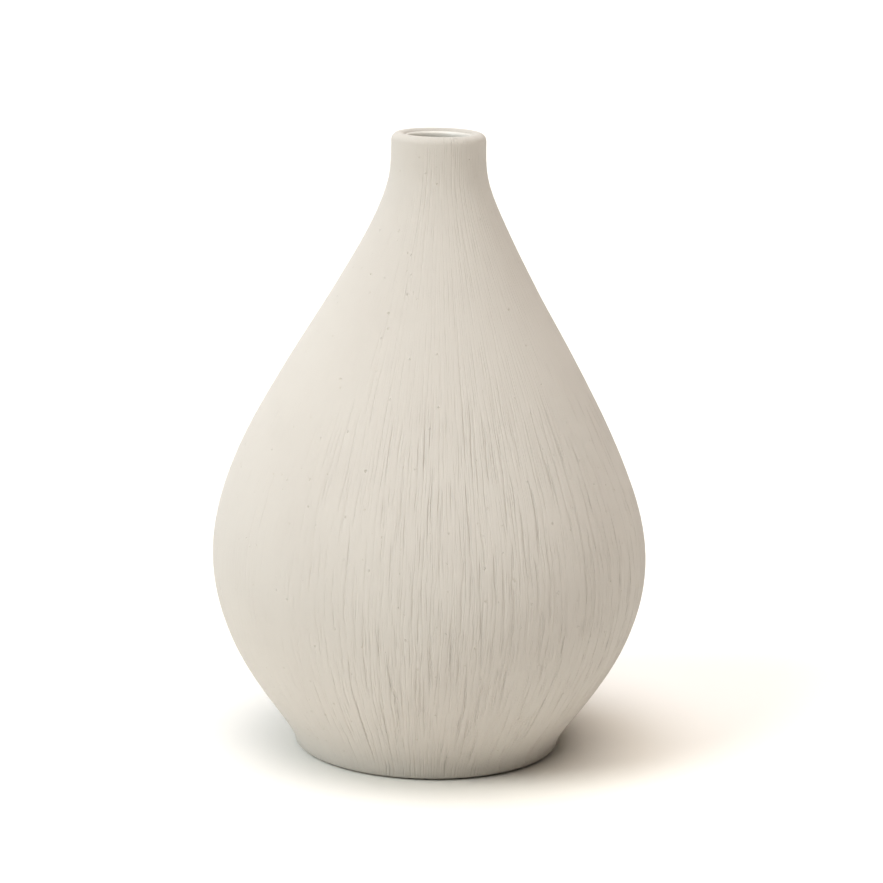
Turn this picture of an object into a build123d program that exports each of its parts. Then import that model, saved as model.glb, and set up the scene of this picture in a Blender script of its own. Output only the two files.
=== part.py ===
"""Ceramic bud vase: an unglazed stoneware bottle, the glaze that lines it, and the pads that it stands on.

Millimetres, +Z up. The origin is on the axis of the vase, in the plane that it stands on.
"""

from build123d import *
import os

# Overall size
HEIGHT = 160.0
BELLY_RADIUS = 56.0
BELLY_HEIGHT = 50.0

# Foot: a ring round a shallow recess, held just clear of the table by the pads
FOOT_GAP = 0.45
FOOT_RADIUS = 33.8
FOOT_EDGE_ROUND = 0.45
RING_WIDTH = 7.0
RECESS_CEILING = 2.2
RECESS_ROUND = 0.45

# Rim: a straight throat that ends in a fully rounded lip
RIM_RADIUS = 12.0
THROAT_RADIUS = 7.7
THROAT_FOOT_HEIGHT = 151.0

# Thicknesses
GLAZE = 0.35
WALL = 4.2
FLOOR_HEIGHT = 7.5
FLOOR_RADIUS = 24.0

# Pads under the foot
PAD_COUNT = 3
PAD_RADIUS = 4.5
PAD_CIRCLE_RADIUS = 20.5
PAD_EDGE_ROUND = 0.5

# Worked out from the sizes above
BODY_THROAT_RADIUS = THROAT_RADIUS + GLAZE
LIP_RADIUS = (RIM_RADIUS - BODY_THROAT_RADIUS) / 2
LIP_CENTRE = Vector(RIM_RADIUS - LIP_RADIUS, HEIGHT - LIP_RADIUS)
GLAZE_REACH = 40.0  # degrees of the lip that the glaze climbs over

# Stations of the outside from the foot up, as radius and height
OUTSIDE = [
    (FOOT_RADIUS, FOOT_GAP),
    (38.7, 9.0),
    (49.3, 25.0),
    (BELLY_RADIUS, BELLY_HEIGHT),
    (48.1, 80.0),
    (33.0, 108.0),
    (20.5, 130.0),
    (13.1, 146.5),
    (RIM_RADIUS, HEIGHT - LIP_RADIUS),
]
FOOT_FLARE = (0.32, 1.0)  # direction in which the outside leaves the foot
UPRIGHT = (0.0, 1.0)
LEVEL = (1.0, 0.0)
END_PULL = (1.0, 0.6)  # a gentle pull at both ends, so that the wall eases into the floor and the throat


def set_in(line, distance, first, last, count):
    """Points at a distance inside a line, evenly spaced between two shares of its length.

    The line runs up the section with the clay on its left, so inside is its left-hand side.
    """
    points = []
    for step in range(count):
        share = first + (last - first) * step / (count - 1)
        along = line % share
        points.append(line @ share + Vector(-along.Y, along.X) * distance)
    return points


# The lines of the half section, drawn in a plane of radius and height
with BuildLine() as outside:
    Spline(*OUTSIDE, tangents=[FOOT_FLARE, UPRIGHT])

# Inside of the clay: parallel to the outside, then level into the floor and straight into the throat
with BuildLine() as inside:
    Spline(
        (FLOOR_RADIUS, FLOOR_HEIGHT),
        *set_in(outside.line.edge(), WALL, 0.12, 0.88, 12),
        (BODY_THROAT_RADIUS, THROAT_FOOT_HEIGHT),
        tangents=[LEVEL, UPRIGHT],
        tangent_scalars=END_PULL,
    )

# Inside of the glaze: parallel to the inside of the clay
with BuildLine() as glazed:
    Spline(
        (FLOOR_RADIUS, FLOOR_HEIGHT + GLAZE),
        *set_in(inside.line.edge(), GLAZE, 0.06, 0.94, 15),
        (THROAT_RADIUS, THROAT_FOOT_HEIGHT),
        tangents=[LEVEL, UPRIGHT],
        tangent_scalars=END_PULL,
    )

# Fired clay: one hollow piece, with a recess under it
with BuildPart() as stoneware_body:
    with BuildSketch(Plane.XZ):
        with BuildLine():
            add(outside.line)
            CenterArc(LIP_CENTRE, LIP_RADIUS, 0, 180)
            Line((BODY_THROAT_RADIUS, LIP_CENTRE.Y), (BODY_THROAT_RADIUS, THROAT_FOOT_HEIGHT))
            add(inside.line)
            Polyline(
                (FLOOR_RADIUS, FLOOR_HEIGHT),
                (0, FLOOR_HEIGHT),
                (0, FOOT_GAP),
                (FOOT_RADIUS, FOOT_GAP),
            )
        make_face()
    revolve(axis=Axis.Z)
    with BuildSketch(Plane.XY.offset(FOOT_GAP)):
        Circle(FOOT_RADIUS - RING_WIDTH)
    extrude(amount=RECESS_CEILING - FOOT_GAP, mode=Mode.SUBTRACT)
    ring_edges = stoneware_body.edges().filter_by(GeomType.CIRCLE).group_by(Axis.Z)[0]
    fillet(ring_edges.sort_by(SortBy.RADIUS)[-1], FOOT_EDGE_ROUND)
    fillet(ring_edges.sort_by(SortBy.RADIUS)[0], RECESS_ROUND)
stoneware_body.part.label = "stoneware_body"

# Glaze: a thin skin over the floor, the wall and the throat, and a little way over the lip
with BuildPart() as liner_glaze:
    with BuildSketch(Plane.XZ):
        with BuildLine():
            add(inside.line)
            Line((BODY_THROAT_RADIUS, THROAT_FOOT_HEIGHT), (BODY_THROAT_RADIUS, LIP_CENTRE.Y))
            on_clay = CenterArc(LIP_CENTRE, LIP_RADIUS, 180, -GLAZE_REACH)
            on_glaze = CenterArc(LIP_CENTRE, LIP_RADIUS + GLAZE, 180, -GLAZE_REACH)
            Line(on_clay @ 1, on_glaze @ 1)
            Line((THROAT_RADIUS, LIP_CENTRE.Y), (THROAT_RADIUS, THROAT_FOOT_HEIGHT))
            add(glazed.line)
            Polyline(
                (FLOOR_RADIUS, FLOOR_HEIGHT + GLAZE),
                (0, FLOOR_HEIGHT + GLAZE),
                (0, FLOOR_HEIGHT),
                (FLOOR_RADIUS, FLOOR_HEIGHT),
            )
        make_face()
    revolve(axis=Axis.Z)
liner_glaze.part.label = "liner_glaze"

# Pads: soft discs stuck in the recess, which stand a little proud of the ring
foot_pads = []
for number, spot in enumerate(PolarLocations(PAD_CIRCLE_RADIUS, PAD_COUNT, start_angle=90), start=1):
    with BuildPart() as foot_pad:
        with BuildSketch(Plane(spot)):
            Circle(PAD_RADIUS)
        extrude(amount=RECESS_CEILING)
        fillet(foot_pad.edges().group_by(Axis.Z)[0], PAD_EDGE_ROUND)
    foot_pad.part.label = f"foot_pad_{number}"
    foot_pads.append(foot_pad)

os.makedirs("parts", exist_ok=True)
for piece in (stoneware_body, liner_glaze, *foot_pads):
    export_step(piece.part, f"parts/{piece.part.label}.step")
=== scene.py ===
"""Looks of the ceramic bud vase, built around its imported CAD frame.

The vase is slip-cast stoneware, combed up and down while leather hard, fired without a glaze outside, lined
with a clear glaze and stood on three soft pads. Metres throughout, +Z up, in the frame of the CAD model.
"""

import logging
import math
from dataclasses import dataclass, replace
from enum import Enum
from typing import ClassVar

import bpy
import numpy as np
from bpy.types import Material, Node, NodeSocket, NodeTree, Object
from mathutils import Matrix, Vector


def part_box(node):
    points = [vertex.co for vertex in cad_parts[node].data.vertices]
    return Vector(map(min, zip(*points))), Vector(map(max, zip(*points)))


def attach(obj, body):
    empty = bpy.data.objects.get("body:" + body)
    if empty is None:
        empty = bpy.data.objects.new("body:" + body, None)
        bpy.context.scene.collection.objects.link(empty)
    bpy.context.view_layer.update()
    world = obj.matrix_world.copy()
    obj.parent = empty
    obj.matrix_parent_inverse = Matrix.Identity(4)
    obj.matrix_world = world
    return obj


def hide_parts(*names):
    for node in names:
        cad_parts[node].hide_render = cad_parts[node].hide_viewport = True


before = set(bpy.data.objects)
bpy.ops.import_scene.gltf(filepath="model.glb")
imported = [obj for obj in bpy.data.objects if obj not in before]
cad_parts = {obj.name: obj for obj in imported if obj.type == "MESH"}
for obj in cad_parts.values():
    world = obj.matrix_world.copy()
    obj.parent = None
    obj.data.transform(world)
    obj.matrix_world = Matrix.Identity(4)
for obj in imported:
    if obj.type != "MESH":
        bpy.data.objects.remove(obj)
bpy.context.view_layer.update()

BODY = "root"
MM = 0.001

# The kinds of node that are used most
MATH = "ShaderNodeMath"
VECTOR = "ShaderNodeVectorMath"
RANGE = "ShaderNodeMapRange"
NOISE = "ShaderNodeTexNoise"
MIX = "ShaderNodeMix"
BUMP = "ShaderNodeBump"

log = logging.getLogger("bud_vase")


# ------------------------------ small tools


def linear(hex_colour: str) -> tuple[float, float, float, float]:
    """Turns an sRGB hex colour to linear RGBA.

    Args:
        hex_colour: Six hex digits, such as "e2ddd3".

    Returns:
        Red, green, blue and an alpha of one, in linear light.
    """
    channels = [byte / 255 for byte in bytes.fromhex(hex_colour)]
    light = [c / 12.92 if c <= 0.04045 else ((c + 0.055) / 1.055) ** 2.4 for c in channels]
    return (*light, 1.0)


def add_node(tree: NodeTree, kind: str, inputs: dict | None = None, **settings: object) -> Node:
    """Adds a node with its settings and links.

    Args:
        tree: The tree that gets the node.
        kind: The node's type, such as "ShaderNodeMath".
        inputs: Input name or number to a value, a socket to link, or a node whose first output is linked.
        **settings: Properties of the node, such as operation="ADD".

    Returns:
        The new node.
    """
    node = tree.nodes.new(kind)
    for name, value in settings.items():
        setattr(node, name, value)
    for key, value in (inputs or {}).items():
        if isinstance(value, Node):
            tree.links.new(value.outputs[0], node.inputs[key])
        elif isinstance(value, NodeSocket):
            tree.links.new(value, node.inputs[key])
        else:
            node.inputs[key].default_value = value
    return node


def smooth_through(x: np.ndarray, xs: np.ndarray, ys: np.ndarray) -> np.ndarray:
    """Reads a smooth curve that passes through known points.

    Args:
        x: Where to read it.
        xs: The known places, rising.
        ys: The known values.

    Returns:
        The values at x, on a cubic between each two points that leaves both with the curve's own slope.
    """
    slopes = np.gradient(ys, xs)
    left = np.clip(np.searchsorted(xs, x) - 1, 0, len(xs) - 2)
    gap = xs[left + 1] - xs[left]
    t = (x - xs[left]) / gap
    near = ys[left] * (1 + 2 * t) * (1 - t) ** 2 + slopes[left] * gap * t * (1 - t) ** 2
    far = ys[left + 1] * t ** 2 * (3 - 2 * t) - slopes[left + 1] * gap * t ** 2 * (1 - t)
    return near + far


# ------------------------------ turned shapes


class Side(Enum):
    """The two sides of a round wall."""

    OUTSIDE = 1
    INSIDE = -1


@dataclass(frozen=True)
class CadOutline:
    """One side of a round CAD node, as radius against height.

    Attributes:
        node: Name of the CAD node.
        side: The side that is read.
        lowest: Height above which it is read.
    """

    node: str
    side: Side
    lowest: float

    STEEP: ClassVar[float] = 0.05  # a face that looks this little along the radius is level, not wall
    PLACES: ClassVar[int] = 5  # heights that agree to so many decimal places of a metre are one level

    def points(self) -> tuple[np.ndarray, np.ndarray]:
        """Reads the wall's corners off the CAD mesh.

        Returns:
            Heights, rising, and the radius at each.
        """
        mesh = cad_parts[self.node].data
        places = np.array([v.co for v in mesh.vertices])
        wall = set()
        for face in mesh.polygons:
            outward = face.normal.xy.dot(face.center.xy.normalized())
            if outward * self.side.value > self.STEEP:
                wall.update(face.vertices)
        corners = places[sorted(wall)]
        corners = corners[corners[:, 2] > self.lowest]
        heights = np.round(corners[:, 2], self.PLACES)
        radii = np.hypot(corners[:, 0], corners[:, 1])
        levels = np.unique(heights)
        return levels, np.array([radii[heights == level].mean() for level in levels])

    def radius(self, heights: np.ndarray) -> np.ndarray:
        """Gives the wall's radius at each height."""
        return smooth_through(heights, *self.points())


@dataclass(frozen=True)
class Ring:
    """One ring of a turned surface.

    Attributes:
        radius: Distance from the axis. A ring of one column is a pole, on the axis.
        height: Height above the table.
        columns: How many corners it has. The next ring has as many, twice as many or half as many.
        comb: How fully the comb cuts here, from 0 to 1.
    """

    radius: float
    height: float
    columns: int
    comb: float = 0.0


def arc(centre: tuple[float, float], radius: float, start: float, end: float,
        count: int) -> list[tuple[float, float]]:
    """Sets points along an arc of the half section.

    Args:
        centre: Radius and height of the arc's centre.
        radius: The arc's own radius.
        start: First angle in degrees, where 0 points away from the axis and 90 points up.
        end: Last angle in degrees.
        count: How many points, both ends included.

    Returns:
        The points, as (radius, height).
    """
    angles = np.radians(np.linspace(start, end, count))
    return [(centre[0] + radius * math.cos(a), centre[1] + radius * math.sin(a)) for a in angles]


def band(low_start: int, low_count: int, high_start: int, high_count: int) -> list[tuple[int, ...]]:
    """Makes the faces between two neighbouring rings.

    Args:
        low_start: Number of the first corner of the earlier ring.
        low_count: Corners of the earlier ring.
        high_start: Number of the first corner of the later ring.
        high_count: Corners of the later ring.

    Returns:
        Faces that look away from the solid, when the section runs with the solid on its left.
    """
    faces = []
    for i in range(max(low_count, high_count)):
        j = i + 1
        if low_count == high_count:
            a, b = low_start + i, low_start + j % low_count
            faces.append((a, b, high_start + j % high_count, high_start + i))
        elif low_count == 1:
            faces.append((low_start, high_start + j % high_count, high_start + i))
        elif high_count == 1:
            faces.append((low_start + i, low_start + j % low_count, high_start))
        elif low_count < high_count and i % 2 == 0:
            a, b = low_start + i // 2, low_start + (i // 2 + 1) % low_count
            c, d, e = (high_start + (i + k) % high_count for k in range(3))
            faces += [(a, d, c), (a, b, d), (b, e, d)]
        elif low_count > high_count and i % 2 == 0:
            a, b = high_start + i // 2, high_start + (i // 2 + 1) % high_count
            c, d, e = (low_start + (i + k) % low_count for k in range(3))
            faces += [(c, d, a), (a, d, b), (d, e, b)]
    return faces


@dataclass(frozen=True)
class HandSway:
    """The slight lean to and fro that hand finishing leaves in the axis.

    Attributes:
        leans: For each lean, how far the axis moves along X where it moves most, at what height that is, and
            how quickly it comes back above and below.
    """

    leans: tuple[tuple[float, float, float], ...] = (
        (-0.75 * MM, 80 * MM, 27 * MM),
        (0.30 * MM, 136 * MM, 13 * MM),
    )

    def at(self, heights: np.ndarray) -> np.ndarray:
        """Gives the axis's shift along X at each height."""
        return sum(
            reach * np.exp(-((heights - height) / spread) ** 2) for reach, height, spread in self.leans)


def turn(name: str, rings: list[Ring], sway: HandSway | None = None) -> Object:
    """Turns a half section into a closed, smooth solid.

    Args:
        name: Name of the new object.
        rings: The section's rings in order, with the solid on the left, from pole to pole or round a loop.
        sway: The lean of the axis, if any.

    Returns:
        The object, with each corner's comb share in the attribute "comb".
    """
    corners, comb, starts = [], [], []
    for ring in rings:
        starts.append(len(corners))
        angles = np.linspace(0, 2 * math.pi, ring.columns, endpoint=False)
        radius = ring.radius if ring.columns > 1 else 0.0
        corners.extend(zip(radius * np.cos(angles), radius * np.sin(angles), [ring.height] * ring.columns))
        comb.extend([ring.comb] * ring.columns)
    places = np.array(corners)
    if sway:
        places[:, 0] += sway.at(places[:, 2])
    faces = []
    last = len(rings) - 1
    pairs = [(k, k + 1) for k in range(last)]
    if rings[0].columns > 1:
        pairs.append((last, 0))
    for low, high in pairs:
        faces += band(starts[low], rings[low].columns, starts[high], rings[high].columns)
    mesh = bpy.data.meshes.new(name)
    mesh.from_pydata(places.tolist(), [], faces)
    mesh.shade_smooth()
    mesh.attributes.new("comb", "FLOAT", "POINT").data.foreach_set("value", comb)
    piece = bpy.data.objects.new(name, mesh)
    bpy.context.scene.collection.objects.link(piece)
    return piece


def apply_tree(piece: Object, tree: NodeTree, inputs: dict) -> None:
    """Runs a Geometry Nodes tree on a piece and keeps the result as a plain mesh.

    Args:
        piece: The object whose mesh the tree starts from, and which gets the result.
        tree: The tree.
        inputs: Name of each of the tree's inputs to its value.
    """
    modifier = piece.modifiers.new(tree.name, "NODES")
    modifier.node_group = tree
    sockets = {item.name: item.identifier for item in tree.interface.items_tree if item.in_out == "INPUT"}
    for name, value in inputs.items():
        modifier[sockets[name]] = value
    graph = bpy.context.evaluated_depsgraph_get()
    made = bpy.data.meshes.new_from_object(piece.evaluated_get(graph), depsgraph=graph)
    piece.modifiers.remove(modifier)
    old = piece.data
    piece.data = made
    bpy.data.meshes.remove(old)
    made.name = piece.name


def new_tree(name: str, kind: str, inputs: dict[str, str], outputs: dict[str, str]) -> NodeTree:
    """Starts a node tree with named inputs and outputs.

    Args:
        name: Name of the tree.
        kind: "GeometryNodeTree" for a modifier or a group in one, "ShaderNodeTree" for a group in a material.
        inputs: Name of each input to what it takes, such as "Float".
        outputs: The same for each output.

    Returns:
        The tree.
    """
    tree = bpy.data.node_groups.new(name, kind)
    for in_out, sockets in (("INPUT", inputs), ("OUTPUT", outputs)):
        for socket, value in sockets.items():
            tree.interface.new_socket(name=socket, in_out=in_out, socket_type=f"NodeSocket{value}")
    return tree


# ------------------------------ the combing


class Fade(Enum):
    """What decides where a pass of the comb begins and ends."""

    BY_RADIUS = "radius"
    BY_HEIGHT = "height"


@dataclass(frozen=True)
class CombPass:
    """One pass of a comb up and down the wall.

    Attributes:
        teeth: Cuts round the whole vase, if none were skipped.
        depth: Depth of the deepest cut.
        half_width: Half the width of a cut at the surface.
        wander: How far a cut strays sideways, in pitches.
        skipped: Share of the cuts that are missing at any height, from 0 to 1.
        run: How long a tooth stays in the clay.
        fade: Whether radius or height decides where the pass is.
        none: The radius or height at which it has died out.
        full: The radius or height at which it is at full depth.
        seed: Sets which teeth cut where.
        burr: Height of the burr along both edges of a cut, as a share of the cut's depth.
    """

    teeth: float
    depth: float
    half_width: float
    wander: float
    skipped: float
    run: float
    fade: Fade
    none: float
    full: float
    seed: float
    burr: float = 0.0


# Teeth, depth, half width, wander, skipped, run, fade, none, full, seed, and burr where there is one
CUTS = (
    CombPass(170, 0.26 * MM, 0.34 * MM, 1.7, 0.44, 16 * MM, Fade.BY_RADIUS, 27 * MM, 46 * MM, 1.0),
    CombPass(215, 0.22 * MM, 0.32 * MM, 2.0, 0.47, 12 * MM, Fade.BY_RADIUS, 30 * MM, 50 * MM, 2.0),
    CombPass(260, 0.16 * MM, 0.30 * MM, 2.2, 0.48, 9 * MM, Fade.BY_RADIUS, 34 * MM, 50 * MM, 6.0),
    CombPass(150, 0.12 * MM, 0.28 * MM, 1.0, 0.46, 14 * MM, Fade.BY_RADIUS, 44 * MM, 30 * MM, 3.0),
    CombPass(72, 0.08 * MM, 0.26 * MM, 0.8, 0.46, 9 * MM, Fade.BY_RADIUS, 24 * MM, 16 * MM, 4.0),
    CombPass(84, 0.26 * MM, 0.32 * MM, 2.2, 0.56, 40 * MM, Fade.BY_HEIGHT, 58 * MM, 34 * MM, 5.0),
    CombPass(190, 0.22 * MM, 0.32 * MM, 2.0, 0.45, 10 * MM, Fade.BY_HEIGHT, 72 * MM, 40 * MM, 9.0),
)
HAIR_LINES = (
    CombPass(290, 0.06 * MM, 0.20 * MM, 1.6, 0.45, 9 * MM, Fade.BY_RADIUS, 24 * MM, 44 * MM, 7.0, 0.7),
    CombPass(125, 0.05 * MM, 0.18 * MM, 0.9, 0.43, 5 * MM, Fade.BY_RADIUS, 44 * MM, 28 * MM, 8.0, 0.7),
)

# Inputs of the group that works out a pass, each with the value of the field of the same name
PASS_INPUTS = ("Teeth", "Depth", "Half Width", "Wander", "Skipped", "Run", "Seed", "Burr")

# The hand pressed least on one side
EASED_SIDE = (-0.927, -0.375, 0.0)  # which way that side faces
EASED_FROM = 0.50  # cosine of the angle from it at which the hand begins to ease off
EASED_FULLY = 0.95  # cosine of the angle at which it has eased off fully
EASED_SHARE = 0.32  # share of the full pressure that is left there

# How the teeth stray and bite
STRAY_LENGTH = 17 * MM  # length along the wall in which a cut's stray changes
STRAY_ROUND = 7.0  # how fast the stray changes round the vase, so that neighbours stray together
TOOTH_PLACES = (0.2, 0.8)  # where in its pitch a tooth may stand
LEAST_BITE = 0.35  # bite of the bluntest tooth, as a share of the sharpest one's
STROKES_APART = 5.37  # keeps the strokes of neighbouring teeth unlike each other
PRESS_RAMP = 0.14  # how gently a tooth drops in and lifts out
BURR_MIDDLE = 1.4  # distance of the burr's crest from the cut's middle, in half widths
BURR_HALF = 0.5  # half the burr's own width, in half widths
NOISE_MIDDLE = 0.5  # middle of what a noise gives
UNEVEN_LENGTH = 16 * MM  # length in which the wall's unevenness changes
LEVEL = (1.0, 1.0, 0.0)  # keeps a place's distance from the axis and drops its height


def cores(passes: tuple[CombPass, ...], depth: float, half_width: float, burr: float) -> tuple[CombPass, ...]:
    """Narrows passes to the crisp bottoms of their cuts.

    Args:
        passes: The passes, whose cuts keep their places.
        depth: Share of each pass's depth that is kept.
        half_width: Half the width of a bottom.
        burr: Height of the burr beside it, as a share of its depth.

    Returns:
        The narrowed passes.
    """
    return tuple(replace(one, depth=one.depth * depth, half_width=half_width, burr=burr) for one in passes)


def comb_pass_group(kind: str) -> NodeTree:
    """Builds the group that works out one pass's cut at a place on the wall.

    Args:
        kind: "GeometryNodeTree" or "ShaderNodeTree", which share all the nodes that it needs.

    Returns:
        A tree from the place and the pass's sizes to the depth of the cut, in metres.
    """
    inputs = {"Place": "Vector", **dict.fromkeys(PASS_INPUTS, "Float")}
    tree = new_tree("comb_pass", kind, inputs, {"Cut": "Float"})
    given = add_node(tree, "NodeGroupInput").outputs
    place = given["Place"]
    xyz = add_node(tree, "ShaderNodeSeparateXYZ", {0: place})
    level = add_node(tree, VECTOR, {0: place, 1: LEVEL}, operation="MULTIPLY")
    radius = add_node(tree, VECTOR, {0: level}, operation="LENGTH").outputs["Value"]
    outward = add_node(tree, VECTOR, {0: level}, operation="NORMALIZE")

    # Which tooth is nearest: the angle counted in pitches, with a slow stray to and fro
    angle = add_node(tree, MATH, {0: xyz.outputs["Y"], 1: xyz.outputs["X"]}, operation="ARCTAN2")
    turns = add_node(tree, MATH, {0: angle, 1: 2 * math.pi}, operation="DIVIDE")
    pitches = add_node(tree, MATH, {0: turns, 1: given["Teeth"]}, operation="MULTIPLY")
    wrapped = add_node(tree, VECTOR, {0: outward, "Scale": STRAY_ROUND}, operation="SCALE")
    stray_place = add_node(tree, VECTOR, {
        0: place, 1: (0.0, 0.0, 1 / STRAY_LENGTH), 2: wrapped}, operation="MULTIPLY_ADD")
    stray = add_node(tree, NOISE, {
        "Vector": stray_place, "W": given["Seed"], "Scale": 1.0, "Detail": 3.0}, noise_dimensions="4D")
    centred = add_node(tree, MATH, {0: stray, 1: NOISE_MIDDLE}, operation="SUBTRACT")
    strayed = add_node(tree, MATH, {0: centred, 1: given["Wander"], 2: pitches}, operation="MULTIPLY_ADD")
    floor = add_node(tree, MATH, {0: strayed}, operation="FLOOR")
    tooth = add_node(tree, MATH, {0: floor, 1: given["Teeth"]}, operation="FLOORED_MODULO")
    across = add_node(tree, MATH, {0: strayed}, operation="FRACT")

    # Each tooth has its own place in the pitch and its own bite
    key = add_node(tree, "ShaderNodeCombineXYZ", {0: tooth, 1: given["Seed"]})
    luck = add_node(tree, "ShaderNodeTexWhiteNoise", {"Vector": key}, noise_dimensions="3D")
    lucks = add_node(tree, "ShaderNodeSeparateXYZ", {0: luck.outputs["Color"]})
    middle = add_node(tree, RANGE, {
        "Value": lucks.outputs["X"], "To Min": TOOTH_PLACES[0], "To Max": TOOTH_PLACES[1]})
    bite = add_node(tree, RANGE, {"Value": lucks.outputs["Y"], "To Min": LEAST_BITE})

    # Teeth lift out and drop in again along the wall
    strokes_along = add_node(tree, MATH, {0: xyz.outputs["Z"], 1: given["Run"]}, operation="DIVIDE")
    apart = add_node(tree, MATH, {0: tooth, 1: STROKES_APART}, operation="MULTIPLY")
    stroke_place = add_node(tree, "ShaderNodeCombineXYZ", {0: apart, 1: strokes_along, 2: given["Seed"]})
    stroke = add_node(tree, NOISE, {"Vector": stroke_place, "Scale": 1.0, "Detail": 2.0})
    sunk = add_node(tree, MATH, {0: given["Skipped"], 1: PRESS_RAMP}, operation="ADD")
    pressed = add_node(tree, RANGE, {
        "Value": stroke, "From Min": given["Skipped"], "From Max": sunk}, interpolation_type="SMOOTHSTEP")

    # Across the cut: a blunt V with a burr along both edges
    offset = add_node(tree, MATH, {0: across, 1: middle}, operation="SUBTRACT")
    aside = add_node(tree, MATH, {0: offset}, operation="ABSOLUTE")
    girth = add_node(tree, MATH, {0: radius, 1: 2 * math.pi}, operation="MULTIPLY")
    pitch = add_node(tree, MATH, {0: girth, 1: given["Teeth"]}, operation="DIVIDE")
    distance = add_node(tree, MATH, {0: aside, 1: pitch}, operation="MULTIPLY")
    notch = add_node(tree, RANGE, {
        "Value": distance, "From Max": given["Half Width"], "To Min": 1.0, "To Max": 0.0})
    widths = add_node(tree, MATH, {0: distance, 1: given["Half Width"]}, operation="DIVIDE")
    from_edge = add_node(tree, MATH, {0: widths, 1: BURR_MIDDLE}, operation="SUBTRACT")
    beside = add_node(tree, MATH, {0: from_edge}, operation="ABSOLUTE")
    thrown_up = add_node(tree, RANGE, {
        "Value": beside, "From Max": BURR_HALF, "To Min": given["Burr"], "To Max": 0.0})
    profile = add_node(tree, MATH, {0: notch, 1: thrown_up}, operation="SUBTRACT")
    deep = add_node(tree, MATH, {0: profile, 1: given["Depth"]}, operation="MULTIPLY")
    bitten = add_node(tree, MATH, {0: deep, 1: bite}, operation="MULTIPLY")
    cut = add_node(tree, MATH, {0: bitten, 1: pressed}, operation="MULTIPLY")
    add_node(tree, "NodeGroupOutput", {"Cut": cut})
    return tree


def add_comb(tree: NodeTree, place: NodeSocket, passes: tuple[CombPass, ...]) -> Node:
    """Adds passes of the comb to a tree.

    Args:
        tree: A Geometry Nodes tree or a material's tree.
        place: The place on the wall, in the object's coordinates.
        passes: The passes, whose cuts add up and ease off on one side.

    Returns:
        A node with the depth of the cut, in metres.
    """
    group = comb_pass_group(tree.bl_idname)
    group_node = "GeometryNodeGroup" if tree.bl_idname == "GeometryNodeTree" else "ShaderNodeGroup"
    level = add_node(tree, VECTOR, {0: place, 1: LEVEL}, operation="MULTIPLY")
    measures = {
        Fade.BY_RADIUS: add_node(tree, VECTOR, {0: level}, operation="LENGTH").outputs["Value"],
        Fade.BY_HEIGHT: add_node(tree, "ShaderNodeSeparateXYZ", {0: place}).outputs["Z"],
    }
    total = None
    for one in passes:
        values = {name: getattr(one, name.lower().replace(" ", "_")) for name in PASS_INPUTS}
        cut = add_node(tree, group_node, {"Place": place, **values}, node_tree=group)
        share = add_node(tree, RANGE, {
            "Value": measures[one.fade], "From Min": one.none, "From Max": one.full},
            interpolation_type="SMOOTHSTEP")
        shared = add_node(tree, MATH, {0: cut, 1: share}, operation="MULTIPLY")
        total = add_node(tree, MATH, {0: total, 1: shared}, operation="ADD") if total else shared

    # The hand eases off towards one side
    outward = add_node(tree, VECTOR, {0: level}, operation="NORMALIZE")
    facing = add_node(tree, VECTOR, {0: outward, 1: EASED_SIDE}, operation="DOT_PRODUCT")
    pressure = add_node(tree, RANGE, {
        "Value": facing.outputs["Value"], "From Min": EASED_FROM, "From Max": EASED_FULLY,
        "To Min": 1.0, "To Max": EASED_SHARE}, interpolation_type="SMOOTHSTEP")
    return add_node(tree, MATH, {0: total, 1: pressure}, operation="MULTIPLY")


def combing_tree(passes: tuple[CombPass, ...]) -> NodeTree:
    """Builds the tree that combs a smooth wall.

    Args:
        passes: The passes of the comb.

    Returns:
        A Geometry Nodes tree with the deepest cut, the wall's unevenness and the clay as inputs.
    """
    inputs = {"Geometry": "Geometry", "Deepest Cut": "Float", "Unevenness": "Float", "Clay": "Material"}
    tree = new_tree("combing", "GeometryNodeTree", inputs, {"Geometry": "Geometry"})
    given = add_node(tree, "NodeGroupInput").outputs
    place = add_node(tree, "GeometryNodeInputPosition")
    total = add_comb(tree, place.outputs[0], passes)
    comb = add_node(tree, "GeometryNodeInputNamedAttribute", {"Name": "comb"}, data_type="FLOAT")
    stopped = add_node(tree, MATH, {0: total, 1: given["Deepest Cut"]}, operation="MINIMUM")
    cut = add_node(tree, MATH, {0: stopped, 1: comb}, operation="MULTIPLY")

    rough = add_node(tree, NOISE, {"Vector": place, "Scale": 1 / UNEVEN_LENGTH, "Detail": 1.0})
    centred = add_node(tree, MATH, {0: rough, 1: NOISE_MIDDLE}, operation="SUBTRACT")
    uneven = add_node(tree, MATH, {0: centred, 1: given["Unevenness"]}, operation="MULTIPLY")
    held = add_node(tree, MATH, {0: uneven, 1: comb}, operation="MULTIPLY")
    outward = add_node(tree, MATH, {0: held, 1: cut}, operation="SUBTRACT")
    normal = add_node(tree, "GeometryNodeInputNormal")
    offset = add_node(tree, VECTOR, {0: normal, "Scale": outward}, operation="SCALE")

    moved = add_node(tree, "GeometryNodeSetPosition", {"Geometry": given["Geometry"], "Offset": offset})
    real = add_node(tree, "GeometryNodeRealizeInstances", {"Geometry": moved})
    clay = add_node(tree, "GeometryNodeSetMaterial", {"Geometry": real, "Material": given["Clay"]})
    add_node(tree, "NodeGroupOutput", {"Geometry": clay})
    return tree


# ------------------------------ finishes


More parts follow.
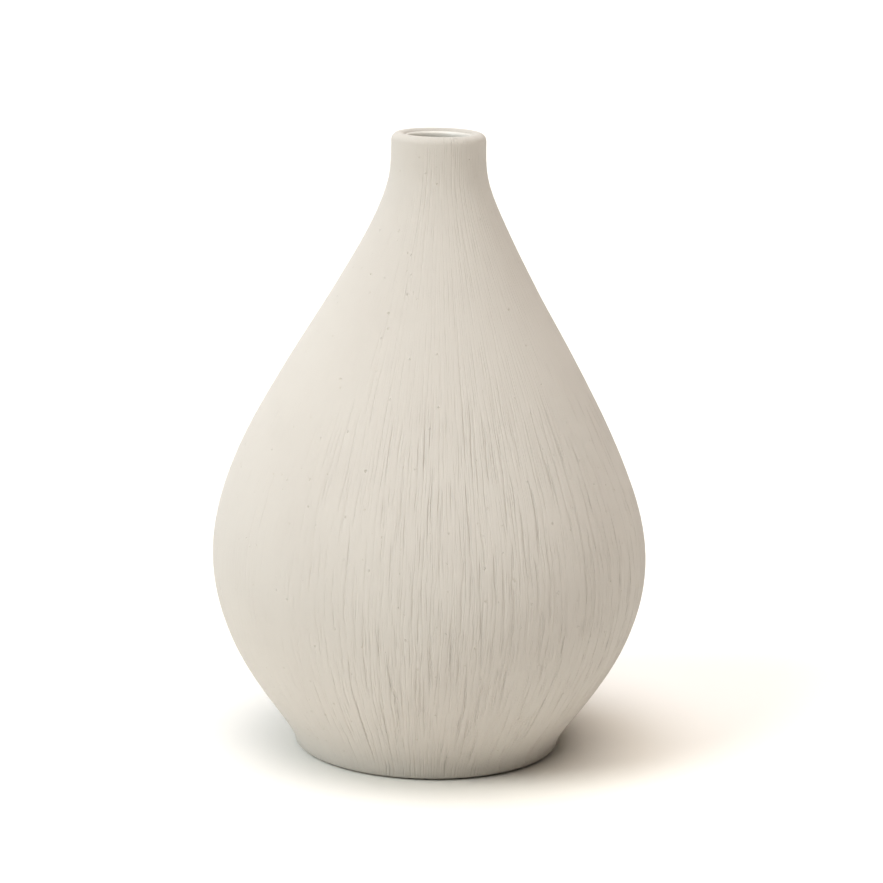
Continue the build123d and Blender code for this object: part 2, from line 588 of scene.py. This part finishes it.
@dataclass(frozen=True)
class Finish:
    """A finish that every corner of a piece shares.

    Attributes:
        name: Common name of the material and how its surface was made.
        roughness: Roughness of the bare surface.
        ior: Index of refraction.
    """

    name: str
    roughness: float
    ior: float

    def start(self, constants: dict) -> tuple[Material, Node, NodeSocket]:
        """Starts the material.

        Args:
            constants: Name of each of the shader's sockets that this finish sets to its value.

        Returns:
            The material, its shader node and the place on the object.
        """
        material = bpy.data.materials.new(self.name)
        material.use_nodes = True
        shader = material.node_tree.nodes["Principled BSDF"]
        for name, value in {"Roughness": self.roughness, "IOR": self.ior, **constants}.items():
            shader.inputs[name].default_value = value
        place = add_node(material.node_tree, "ShaderNodeTexCoord").outputs["Object"]
        return material, shader, place

    @staticmethod
    def raise_skin(
            shader: Node, height: Node, distance: float, sockets: tuple[str, ...] = ("Normal",)) -> None:
        """Gives the shader's skin a relief.

        Args:
            shader: The shader node.
            height: Node with the relief's height.
            distance: Metres to one unit of that height.
            sockets: The shader's sockets that take the relief.
        """
        tree = shader.id_data
        relief = add_node(tree, BUMP, {"Strength": 1.0, "Distance": distance, "Height": height})
        for socket in sockets:
            tree.links.new(relief.outputs[0], shader.inputs[socket])


@dataclass(frozen=True)
class CombedStoneware(Finish):
    """Unglazed stoneware, combed when leather hard and fired to a dry matt skin.

    The eye sees no gloss, a warm off-white with painted shade at the bottom of the cuts and in the pits,
    hair lines and drag lines between the cuts, pits and crumbs where the comb pulled grit along, and a grain
    like chalk. Fired clay's own grain is 0.1 mm or finer. It is drawn nearly three times as coarse, so that
    it shows.

    Attributes:
        skin: Colour of the clay, which drifts to that of patch over patch_size.
        cut: Colour of the painted shade that darkens the bottom of the cuts and the pits.
        specular: Strength of the sheen.
        diffuse_roughness: How evenly the dry skin scatters light.
        dryness: How far the roughness strays to either side with the grain.
        belly_radius: Radius at which the drag lines have their own pitch.
        drag_pitch: Distance between drag lines, which are drag_length long.
        core_depth: Depth of a cut's crisp bottom, as a share of the cut's own.
        core_half_width: Half the width of that bottom, with a burr of core_burr times its depth.
        full_shade_depth: Depth at which a cut has the full colour of its painted shade.
        pit_spacing: Size of the cells that may hold a pit and a crumb.
        pitless: Share of the cells without a pit.
        crumbless: Share of the cells without a crumb.
        grain: Size of the grain, which is grain_depth deep.
    """

    name: str = "combed bisque stoneware"
    roughness: float = 0.88
    ior: float = 1.5
    skin: str = "d9d3ca"
    patch: str = "d3ccc3"
    # Colour of the painted shade in the cuts and the pits
    cut: str = "d0c8bc"
    specular: float = 0.25
    diffuse_roughness: float = 0.5
    dryness: float = 0.08
    patch_size: float = 22 * MM
    belly_radius: float = 56 * MM
    drag_pitch: float = 0.6 * MM
    drag_length: float = 8 * MM
    drag_depth: float = 0.07 * MM
    core_depth: float = 0.31
    core_half_width: float = 0.22 * MM
    core_burr: float = 1.0
    full_shade_depth: float = 0.45 * MM
    pit_spacing: float = 2.3 * MM
    pitless: float = 0.60
    crumbless: float = 0.55
    pit_radius: float = 0.42 * MM
    pit_depth: float = 0.14 * MM
    crumb_height: float = 0.16 * MM
    grain: float = 0.28 * MM
    grain_depth: float = 0.02 * MM

    def build(self) -> Material:
        """Builds the material."""
        material, shader, place = self.start({
            "Specular IOR Level": self.specular, "Diffuse Roughness": self.diffuse_roughness})
        tree = material.node_tree

        # Lines finer than the mesh: the crisp bottoms of the cuts, and hair lines between them
        cores_and_hairs = cores(CUTS, self.core_depth, self.core_half_width, self.core_burr) + HAIR_LINES
        line = add_comb(tree, place, cores_and_hairs)

        # Drag lines: a pattern wrapped round the axis and stretched up the wall
        level = add_node(tree, VECTOR, {0: place, 1: LEVEL}, operation="MULTIPLY")
        outward = add_node(tree, VECTOR, {0: level}, operation="NORMALIZE")
        wrapped = add_node(tree, VECTOR, {
            0: outward, "Scale": self.belly_radius / self.drag_pitch}, operation="SCALE")
        drag_place = add_node(tree, VECTOR, {
            0: place, 1: (0.0, 0.0, 1 / self.drag_length), 2: wrapped}, operation="MULTIPLY_ADD")
        drag = add_node(tree, NOISE, {"Vector": drag_place, "Scale": 1.0, "Detail": 2.0})

        # Pits and crumbs: a random number of each cell decides which it holds, if any, and how big
        cells = add_node(tree, "ShaderNodeTexVoronoi", {"Vector": place, "Scale": 1 / self.pit_spacing})
        chance = add_node(tree, "ShaderNodeSeparateColor", {"Color": cells.outputs["Color"]})
        widest = self.pit_radius / self.pit_spacing
        marks = []
        for channel, least in (("Red", self.pitless), ("Green", self.crumbless)):
            size = add_node(tree, RANGE, {
                "Value": chance.outputs[channel], "From Min": least, "From Max": 1.0, "To Max": widest})
            inside = add_node(tree, MATH, {0: size, 1: cells.outputs["Distance"]}, operation="SUBTRACT")
            marks.append(add_node(tree, RANGE, {
                "Value": inside, "From Max": widest / 2}, interpolation_type="SMOOTHSTEP"))
        pit, crumb = marks

        # One height for the whole skin
        grain = add_node(tree, NOISE, {"Vector": place, "Scale": 1 / self.grain, "Detail": 2.0})
        height = add_node(tree, MATH, {0: grain, 1: self.grain_depth}, operation="MULTIPLY")
        layers = (
            (drag, self.drag_depth), (line, -1.0), (crumb, self.crumb_height), (pit, -self.pit_depth))
        for layer, depth in layers:
            height = add_node(tree, MATH, {0: layer, 1: depth, 2: height}, operation="MULTIPLY_ADD")
        self.raise_skin(shader, height, 1.0)

        # Colour: the clay drifts in patches, and painted shade darkens the cuts and the pits
        patches = add_node(tree, NOISE, {"Vector": place, "Scale": 1 / self.patch_size, "Detail": 3.0})
        clay = add_node(tree, MIX, {
            "Factor": patches, 6: linear(self.skin), 7: linear(self.patch)}, data_type="RGBA")
        # Painted shade: the bottoms of the cuts and the pits are drawn darker, for the shade that falls in
        # them
        deep = add_node(tree, RANGE, {"Value": line, "From Max": self.full_shade_depth})
        painted_shade = add_node(tree, MATH, {0: deep, 1: pit}, operation="MAXIMUM")
        colour = add_node(tree, MIX, {
            "Factor": painted_shade, 6: clay.outputs[2], 7: linear(self.cut)}, data_type="RGBA")
        tree.links.new(colour.outputs[2], shader.inputs["Base Color"])
        dryness = add_node(tree, RANGE, {
            "Value": grain, "To Min": self.roughness - self.dryness, "To Max": self.roughness + self.dryness})
        tree.links.new(dryness.outputs[0], shader.inputs["Roughness"])
        return material


@dataclass(frozen=True)
class ClearLinerGlaze(Finish):
    """Clear glaze, poured in and out again and fired glossy over the clay.

    The eye sees a shade lighter than the clay, a little deeper where the glaze pooled, under a bright coat
    with a faint orange peel.
    """

    name: str = "clear liner glaze over stoneware"
    roughness: float = 0.55
    ior: float = 1.5
    clay: str = "e8e4db"
    pooled: str = "e0dad0"
    coat_weight: float = 0.45
    coat_roughness: float = 0.12
    pool_size: float = 9 * MM
    peel: float = 1.8 * MM
    peel_depth: float = 0.012 * MM

    def build(self) -> Material:
        """Builds the material."""
        material, shader, place = self.start({
            "Coat Weight": self.coat_weight, "Coat Roughness": self.coat_roughness})
        tree = material.node_tree
        pools = add_node(tree, NOISE, {"Vector": place, "Scale": 1 / self.pool_size, "Detail": 2.0})
        colour = add_node(tree, MIX, {
            "Factor": pools, 6: linear(self.clay), 7: linear(self.pooled)}, data_type="RGBA")
        tree.links.new(colour.outputs[2], shader.inputs["Base Color"])
        peel = add_node(tree, NOISE, {"Vector": place, "Scale": 1 / self.peel, "Detail": 1.0})
        self.raise_skin(shader, peel, self.peel_depth, ("Normal", "Coat Normal"))
        return material


@dataclass(frozen=True)
class CastPolyurethane(Finish):
    """Soft polyurethane, cast as domed bumper discs.

    The eye sees a milky grey and slightly greasy disc with dust held on its skin. The dust covers it where
    a noise is above the first dust_share, and fully above the second.
    """

    name: str = "cast polyurethane"
    roughness: float = 0.42
    ior: float = 1.48
    body: str = "b9b6b0"
    dust: str = "a29d93"
    dust_size: float = 0.9 * MM
    dust_share: tuple[float, float] = (0.45, 0.70)
    skin_depth: float = 0.02 * MM

    def build(self) -> Material:
        """Builds the material."""
        material, shader, place = self.start({})
        tree = material.node_tree
        dust = add_node(tree, NOISE, {"Vector": place, "Scale": 1 / self.dust_size, "Detail": 4.0})
        share = add_node(tree, RANGE, {
            "Value": dust, "From Min": self.dust_share[0], "From Max": self.dust_share[1]})
        colour = add_node(tree, MIX, {
            "Factor": share, 6: linear(self.body), 7: linear(self.dust)}, data_type="RGBA")
        tree.links.new(colour.outputs[2], shader.inputs["Base Color"])
        self.raise_skin(shader, dust, self.skin_depth)
        return material


@dataclass(frozen=True)
class SweepPaper(Finish):
    """Matt white paper from a wide roll, as a studio uses for a floor.

    The eye sees an even white with no sheen and the slightest tooth. Real paper's tooth is about 0.1 mm. It
    is drawn four times as coarse, so that it shows.
    """

    name: str = "matt sweep paper"
    roughness: float = 0.9
    ior: float = 1.45
    specular: float = 0.0
    white: str = "fdfaf4"
    tooth: float = 0.4 * MM
    tooth_depth: float = 0.01 * MM

    def build(self) -> Material:
        """Builds the material."""
        material, shader, place = self.start({
            "Base Color": linear(self.white), "Specular IOR Level": self.specular})
        tree = material.node_tree
        tooth = add_node(tree, NOISE, {"Vector": place, "Scale": 1 / self.tooth, "Detail": 2.0})
        self.raise_skin(shader, tooth, self.tooth_depth)
        return material


# ------------------------------ the pieces


@dataclass(frozen=True)
class StonewareBody:
    """The fired body: a combed wall, a rounded lip, a plain inside and a recessed foot.

    Attributes:
        columns: Corners round the belly, about five to a tooth of the finest pass.
        lip_columns: Corners round the lip and the ring, and inside_columns and middle_columns further in.
        halving_radius: Radius below which the wall has half as many corners.
        rows: Rings up the combed wall, spaced evenly by measuring it at so many samples.
        foot_round: Round of the foot's outer edge. It turns through foot_sweep, in degrees, about a centre
            that lies foot_centre rounds in from the foot's radius, and the wall starts foot_end rounds up.
        ring_width: Width of the ring that the foot ends in, with recess_round along its inner edge.
        recess_depth: Depth of the recess inside that ring, with recess_corner along its ceiling.
        recess_shares: Where the ceiling's rings lie, as shares of the recess's radius.
        floor_radius: Radius of the flat of the floor inside.
        floor_clear: Height over the floor from which the inside wall is read off the CAD outline.
        floor_gap: Height over the floor of the inside wall's lowest ring.
        throat_drop: Depth of the wall's highest ring below the lip's centre.
        lip_start: Angle at which the lip takes over from the wall, in degrees.
        comb_top: Heights between which the combing dies out below the lip.
        deepest_cut: Depth that no cut goes past where several cross.
        unevenness: How far the wall swells and sinks, as a hand leaves it.
    """

    node: str = "stoneware_body"
    columns: int = 1280
    lip_columns: int = 320
    inside_columns: int = 160
    middle_columns: int = 80
    halving_radius: float = 30 * MM
    rows: int = 74
    samples: int = 400
    foot_round: float = 0.45 * MM
    foot_sweep: tuple[float, float] = (270, 330)
    foot_centre: float = 0.72
    foot_end: float = 1.15
    foot_radius: float = 33.8 * MM
    ring_width: float = 7.0 * MM
    recess_depth: float = 1.75 * MM
    recess_round: float = 0.45 * MM
    recess_corner: float = 0.3 * MM
    recess_shares: tuple[float, float] = (0.3, 0.8)
    floor_radius: float = 24.0 * MM
    floor_height: float = 7.5 * MM
    floor_clear: float = 0.5 * MM
    floor_gap: float = 1.2 * MM
    throat_drop: float = 2 * MM
    rim_radius: float = 12.0 * MM
    throat_radius: float = 8.05 * MM
    lip_start: float = 12
    comb_top: tuple[float, float] = (150 * MM, 157 * MM)
    deepest_cut: float = 0.42 * MM
    unevenness: float = 0.22 * MM

    def lip(self) -> tuple[tuple[float, float], float]:
        """Gives the lip's centre and radius in the half section."""
        radius = (self.rim_radius - self.throat_radius) / 2
        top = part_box(self.node)[1].z
        return (self.rim_radius - radius, top - radius), radius

    def inside_outline(self) -> CadOutline:
        """Gives the CAD outline of the inside wall, above the floor."""
        return CadOutline(self.node, Side.INSIDE, self.floor_height + self.floor_clear)

    def underside(self) -> list[Ring]:
        """Lays the rings from the middle of the recess out to the foot's edge."""
        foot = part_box(self.node)[0].z
        ceiling = foot + self.recess_depth
        inner = self.foot_radius - self.ring_width
        near, far = self.recess_shares
        rings = [
            Ring(0, ceiling, 1),
            Ring(inner * near, ceiling, self.middle_columns),
            Ring(inner * far, ceiling, self.inside_columns),
        ]
        corner = (inner - self.recess_corner, ceiling - self.recess_corner)
        edge = (inner + self.recess_round, foot + self.recess_round)
        turned = arc(corner, self.recess_corner, 90, 0, 4) + arc(edge, self.recess_round, 180, 270, 5)
        rings += [Ring(r, z, self.lip_columns) for r, z in turned]
        return rings + [Ring((inner + self.foot_radius) / 2, foot, self.columns // 2)]

    def wall(self) -> list[Ring]:
        """Lays the rings of the foot's outer edge and of the combed wall."""
        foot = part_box(self.node)[0].z
        outline = CadOutline(self.node, Side.OUTSIDE, foot + self.foot_round)
        top = self.lip()[0][1]
        heights = np.linspace(foot + self.foot_end * self.foot_round, top, self.samples)
        radii = outline.radius(heights)
        length = np.concatenate([[0], np.cumsum(np.hypot(np.diff(radii), np.diff(heights)))])
        heights = np.interp(np.linspace(0, length[-1], self.rows), length, heights)
        radii = outline.radius(heights)
        edge = (self.foot_radius - self.foot_centre * self.foot_round, foot + self.foot_round)
        rings = [Ring(r, z, self.columns) for r, z in arc(edge, self.foot_round, *self.foot_sweep, 4)]
        start, end = self.comb_top
        for radius, height in zip(radii, heights):
            comb = 1 - min(max((height - start) / (end - start), 0), 1)
            columns = self.columns if radius > self.halving_radius else self.columns // 2
            rings.append(Ring(radius, height, columns, comb))
        return rings

    def lip_rings(self) -> list[Ring]:
        """Lays the rings over the lip, from the outside to the throat."""
        first, *rest = arc(*self.lip(), self.lip_start, 180, 15)
        return [Ring(*first, self.columns // 2)] + [Ring(r, z, self.lip_columns) for r, z in rest]

    def inside(self) -> list[Ring]:
        """Lays the rings down the inside, which the liner glaze covers."""
        top = self.lip()[0][1] - self.throat_drop
        heights = np.linspace(top, self.floor_height + self.floor_gap, 26)
        radii = self.inside_outline().radius(heights)
        rings = [Ring(r, z, self.inside_columns) for r, z in zip(radii, heights)]
        rings.append(Ring(self.floor_radius, self.floor_height, self.middle_columns))
        return rings + [Ring(0, self.floor_height, 1)]

    def build(self, clay: Material, sway: HandSway) -> Object:
        """Turns the body, combs it and puts it in the frame.

        Args:
            clay: The clay's material.
            sway: The lean of the axis.

        Returns:
            The finished piece.
        """
        rings = self.underside() + self.wall() + self.lip_rings() + self.inside()
        piece = turn("combed_body", rings, sway)
        apply_tree(piece, combing_tree(CUTS), {
            "Deepest Cut": self.deepest_cut, "Unevenness": self.unevenness, "Clay": clay})
        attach(piece, BODY)
        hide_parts(self.node)
        return piece


@dataclass(frozen=True)
class LinerGlaze:
    """The glaze inside: a thin skin from the floor to just over the lip, with a feathered edge.

    Attributes:
        thickness: Thickness of the skin.
        sink: How far its back lies in the clay, so that the two never share a surface.
        reach: Degrees of the lip that it climbs over.
        feather: How soon the skin comes to its full thickness behind its edge, in shares of the reach.
        rows: Rings down the wall, on each side of the skin.
        columns: Corners of each ring.
    """

    node: str = "liner_glaze"
    thickness: float = 0.35 * MM
    sink: float = 0.06 * MM
    reach: float = 40.0
    feather: float = 1 / 2.2
    rows: int = 60
    columns: int = 240

    def back(self, body: StonewareBody, wall: list[tuple[float, float]]) -> list[tuple[float, float]]:
        """Lays the side that lies in the clay, from the floor's middle over the lip.

        Args:
            body: The body that the skin lines.
            wall: Points of its inside wall, from the floor up.

        Returns:
            The side's points, as (radius, height).
        """
        centre, lip = body.lip()
        low = body.floor_height - self.sink
        points = [(0.0, low), (body.floor_radius, low)]
        points += [(radius + self.sink, height) for radius, height in wall]
        return points + arc(centre, lip - self.sink, 180, 180 - self.reach, 7)[1:]

    def front(self, body: StonewareBody, wall: list[tuple[float, float]]) -> list[tuple[float, float]]:
        """Lays the glassy side, from the feathered edge on the lip to the floor's middle.

        Args:
            body: The body that the skin lines.
            wall: Points of its inside wall, from the floor up.

        Returns:
            The side's points, as (radius, height).
        """
        centre, lip = body.lip()
        points = []
        for share in np.linspace(0, 1, 8):
            skin = lip + self.thickness * math.sqrt(min(1.0, share / self.feather))
            angle = 180 - self.reach * (1 - share)
            points += arc(centre, skin, angle, angle, 1)
        points += [(radius - self.thickness, height) for radius, height in reversed(wall[:-1])]
        high = body.floor_height + self.thickness
        return points + [(body.floor_radius, high), (0.0, high)]

    def build(self, glaze: Material, body: StonewareBody, sway: HandSway) -> Object:
        """Turns the skin and puts it in the frame.

        Args:
            glaze: The glaze's material.
            body: The body that it lines.
            sway: The lean of the axis.

        Returns:
            The finished piece.
        """
        heights = np.linspace(body.floor_height + body.floor_gap, body.lip()[0][1], self.rows)
        wall = list(zip(body.inside_outline().radius(heights), heights))
        section = self.back(body, wall) + self.front(body, wall)
        rings = [Ring(r, z, self.columns if r > 0 else 1) for r, z in section]
        piece = turn("glaze_skin", rings, sway)
        piece.data.materials.append(glaze)
        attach(piece, BODY)
        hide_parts(self.node)
        return piece


@dataclass(frozen=True)
class FootPads:
    """The pads in the recess: domed discs on thin adhesive, evenly spaced round the axis.

    Attributes:
        count: How many.
        radius: Radius of one.
        circle_radius: Radius of the circle that they stand on.
        dome: How much thinner a pad is at its edge.
        dome_shares: Where the rings of the dome lie, as shares of its radius.
        dome_power: How suddenly the dome falls off towards its edge.
        top_round: Bevel of the pad's upper edge.
        adhesive: Thickness of the adhesive film, which is narrower than the pad by film_inset.
        columns: Corners of each ring.
    """

    count: int = 3
    radius: float = 4.5 * MM
    circle_radius: float = 20.5 * MM
    height: float = 2.2 * MM
    dome: float = 0.12 * MM
    dome_shares: tuple[float, ...] = (0.3, 0.6, 0.85)
    dome_power: int = 4
    edge_round: float = 0.5 * MM
    top_round: float = 0.1 * MM
    adhesive: float = 0.15 * MM
    film_inset: float = 0.2 * MM
    columns: int = 48

    def pad(self) -> Object:
        """Turns one pad about the axis, domed side down."""
        flat = self.radius - self.edge_round
        step = self.height - self.adhesive
        film = self.radius - self.film_inset
        section = [(share * flat, self.dome * share ** self.dome_power) for share in self.dome_shares]
        section += arc((flat, self.dome + self.edge_round), self.edge_round, 270, 360, 7)
        section += [(self.radius, step - self.top_round), (self.radius - self.top_round, step)]
        section += [(film, step), (film, self.height)]
        rings = [Ring(r, z, self.columns) for r, z in section]
        rings = [Ring(0, 0, 1), *rings, Ring(0, self.height, 1)]
        return turn("one_pad", rings)

    @staticmethod
    def tree() -> NodeTree:
        """Builds the tree that sets the pads out on their circle."""
        inputs = {
            "Geometry": "Geometry", "Count": "Int", "Circle Radius": "Float", "Turn": "Float",
            "Pad Material": "Material"}
        tree = new_tree("pad_circle", "GeometryNodeTree", inputs, {"Geometry": "Geometry"})
        given = add_node(tree, "NodeGroupInput").outputs
        circle = add_node(tree, "GeometryNodeMeshCircle", {
            "Vertices": given["Count"], "Radius": given["Circle Radius"]})
        angles = add_node(tree, "ShaderNodeCombineXYZ", {2: given["Turn"]})
        turned = add_node(tree, "GeometryNodeTransform", {"Geometry": circle, "Rotation": angles})
        spread = add_node(tree, "GeometryNodeInstanceOnPoints", {
            "Points": turned, "Instance": given["Geometry"]})
        real = add_node(tree, "GeometryNodeRealizeInstances", {"Geometry": spread})
        dressed = add_node(tree, "GeometryNodeSetMaterial", {
            "Geometry": real, "Material": given["Pad Material"]})
        add_node(tree, "NodeGroupOutput", {"Geometry": dressed})
        return tree

    def build(self, soft: Material) -> Object:
        """Makes the pads and puts them in the frame.

        Args:
            soft: The pads' material.

        Returns:
            The finished piece.
        """
        piece = self.pad()
        piece.name = "bumper_pads"
        apply_tree(piece, self.tree(), {
            "Count": self.count, "Circle Radius": self.circle_radius, "Turn": math.pi / 2,
            "Pad Material": soft})
        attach(piece, BODY)
        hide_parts(*(f"foot_pad_{number}" for number in range(1, self.count + 1)))
        return piece


# ------------------------------ the studio


@dataclass(frozen=True)
class StudioLight:
    """A softbox so far off that its light is even over the whole set.

    Attributes:
        name: What the light is for.
        azimuth: Where it stands, in degrees round from the camera towards +X.
        elevation: How high it stands, in degrees.
        size: How wide it looks from the vase, in degrees.
        strength: Light on a sheet that faces it, in watts a square metre.
        colour: Its colour, as sRGB hex.
    """

    name: str
    azimuth: float
    elevation: float
    size: float
    strength: float
    colour: str

    def build(self) -> None:
        """Hangs the light."""
        lamp = bpy.data.lights.new(self.name, "SUN")
        lamp.energy = self.strength
        lamp.angle = math.radians(self.size)
        lamp.color = linear(self.colour)[:3]
        light = bpy.data.objects.new(self.name, lamp)
        az, el = math.radians(self.azimuth), math.radians(self.elevation)
        towards = Vector((math.sin(az) * math.cos(el), -math.cos(az) * math.cos(el), math.sin(el)))
        light.rotation_euler = towards.to_track_quat("Z", "Y").to_euler()
        light.location = towards
        bpy.context.scene.collection.objects.link(light)


@dataclass(frozen=True)
class Studio:
    """The floor, the lights and the air round them.

    Attributes:
        floor_size: Length of the floor's side, so far that its end stays out of the side views.
        ambient: Strength of the light that the room itself gives.
        ambient_colour: Its colour, as sRGB hex.
        lights: The lights.
    """

    floor_size: float = 40.0
    ambient: float = 0.02
    ambient_colour: str = "fff4e6"
    # Name, azimuth, elevation, size, strength and colour
    lights: tuple[StudioLight, ...] = (
        StudioLight("key_from_front_left", -54, 40, 26, 1.51, "f5feff"),
        StudioLight("window_high_left", -100, 66, 50, 0.88, "cfe3ff"),
        StudioLight("overhead", 0, 90, 60, 1.55, "fff3e7"),
        StudioLight("top_front_right", 30, 76, 50, 1.16, "fffbf7"),
        StudioLight("glow_from_behind", 180, 14, 46, 0.20, "fff4ea"),
    )

    def build(self) -> None:
        """Lays the floor and hangs the lights."""
        half = self.floor_size / 2
        mesh = bpy.data.meshes.new("floor")
        corners = [(-half, -half, 0), (half, -half, 0), (half, half, 0), (-half, half, 0)]
        mesh.from_pydata(corners, [], [(0, 1, 2, 3)])
        mesh.materials.append(SweepPaper().build())
        floor = bpy.data.objects.new("floor", mesh)
        bpy.context.scene.collection.objects.link(floor)
        for light in self.lights:
            light.build()
        world = bpy.data.worlds.new("studio")
        world.use_nodes = True
        background = world.node_tree.nodes["Background"]
        background.inputs["Color"].default_value = linear(self.ambient_colour)
        background.inputs["Strength"].default_value = self.ambient
        bpy.context.scene.world = world
        bpy.context.scene.view_settings.view_transform = "Standard"


@dataclass(frozen=True)
class StillCamera:
    """A long-lens view from the front, a little above the mouth and looking slightly down.

    Attributes:
        distance: From the vase's axis to the lens, level.
        height: Of the lens above the table.
        pitch: How far it looks down, in degrees.
        roll: How far the vase leans to the right in the frame, in degrees.
        lens: Focal length in millimetres.
        sensor: Width of the sensor in millimetres.
        shift: Shares of the frame's width by which the view is moved across and up.
    """

    distance: float = 802.9 * MM
    height: float = 256.4 * MM
    pitch: float = 12.395
    roll: float = 1.186
    lens: float = 130.25
    sensor: float = 36.0
    clip_start: float = 0.05
    shift: tuple[float, float] = (0.0102, 0.0012)

    def build(self) -> None:
        """Sets up the camera."""
        data = bpy.data.cameras.new("still_camera")
        data.lens = self.lens
        data.sensor_width = self.sensor
        data.shift_x, data.shift_y = self.shift
        data.clip_start = self.clip_start
        camera = bpy.data.objects.new("still_camera", data)
        down = Matrix.Rotation(math.radians(90 - self.pitch), 4, "X")
        tilt = Matrix.Rotation(math.radians(self.roll), 4, "Z")
        camera.matrix_world = Matrix.Translation((0, -self.distance, self.height)) @ down @ tilt
        bpy.context.scene.collection.objects.link(camera)
        bpy.context.scene.camera = camera


def main() -> None:
    """Builds the vase and the studio."""
    logging.basicConfig(level=logging.INFO, format="%(name)s: %(message)s")
    sway = HandSway()
    body = StonewareBody()
    pieces = [
        body.build(CombedStoneware().build(), sway),
        LinerGlaze().build(ClearLinerGlaze().build(), body, sway),
        FootPads().build(CastPolyurethane().build()),
    ]
    for piece in pieces:
        triangles = sum(len(face.vertices) - 2 for face in piece.data.polygons)
        log.info("%s has %d triangles", piece.name, triangles)
    Studio().build()
    StillCamera().build()
    log.info("studio and camera are ready")


if __name__ == "__main__":
    main()
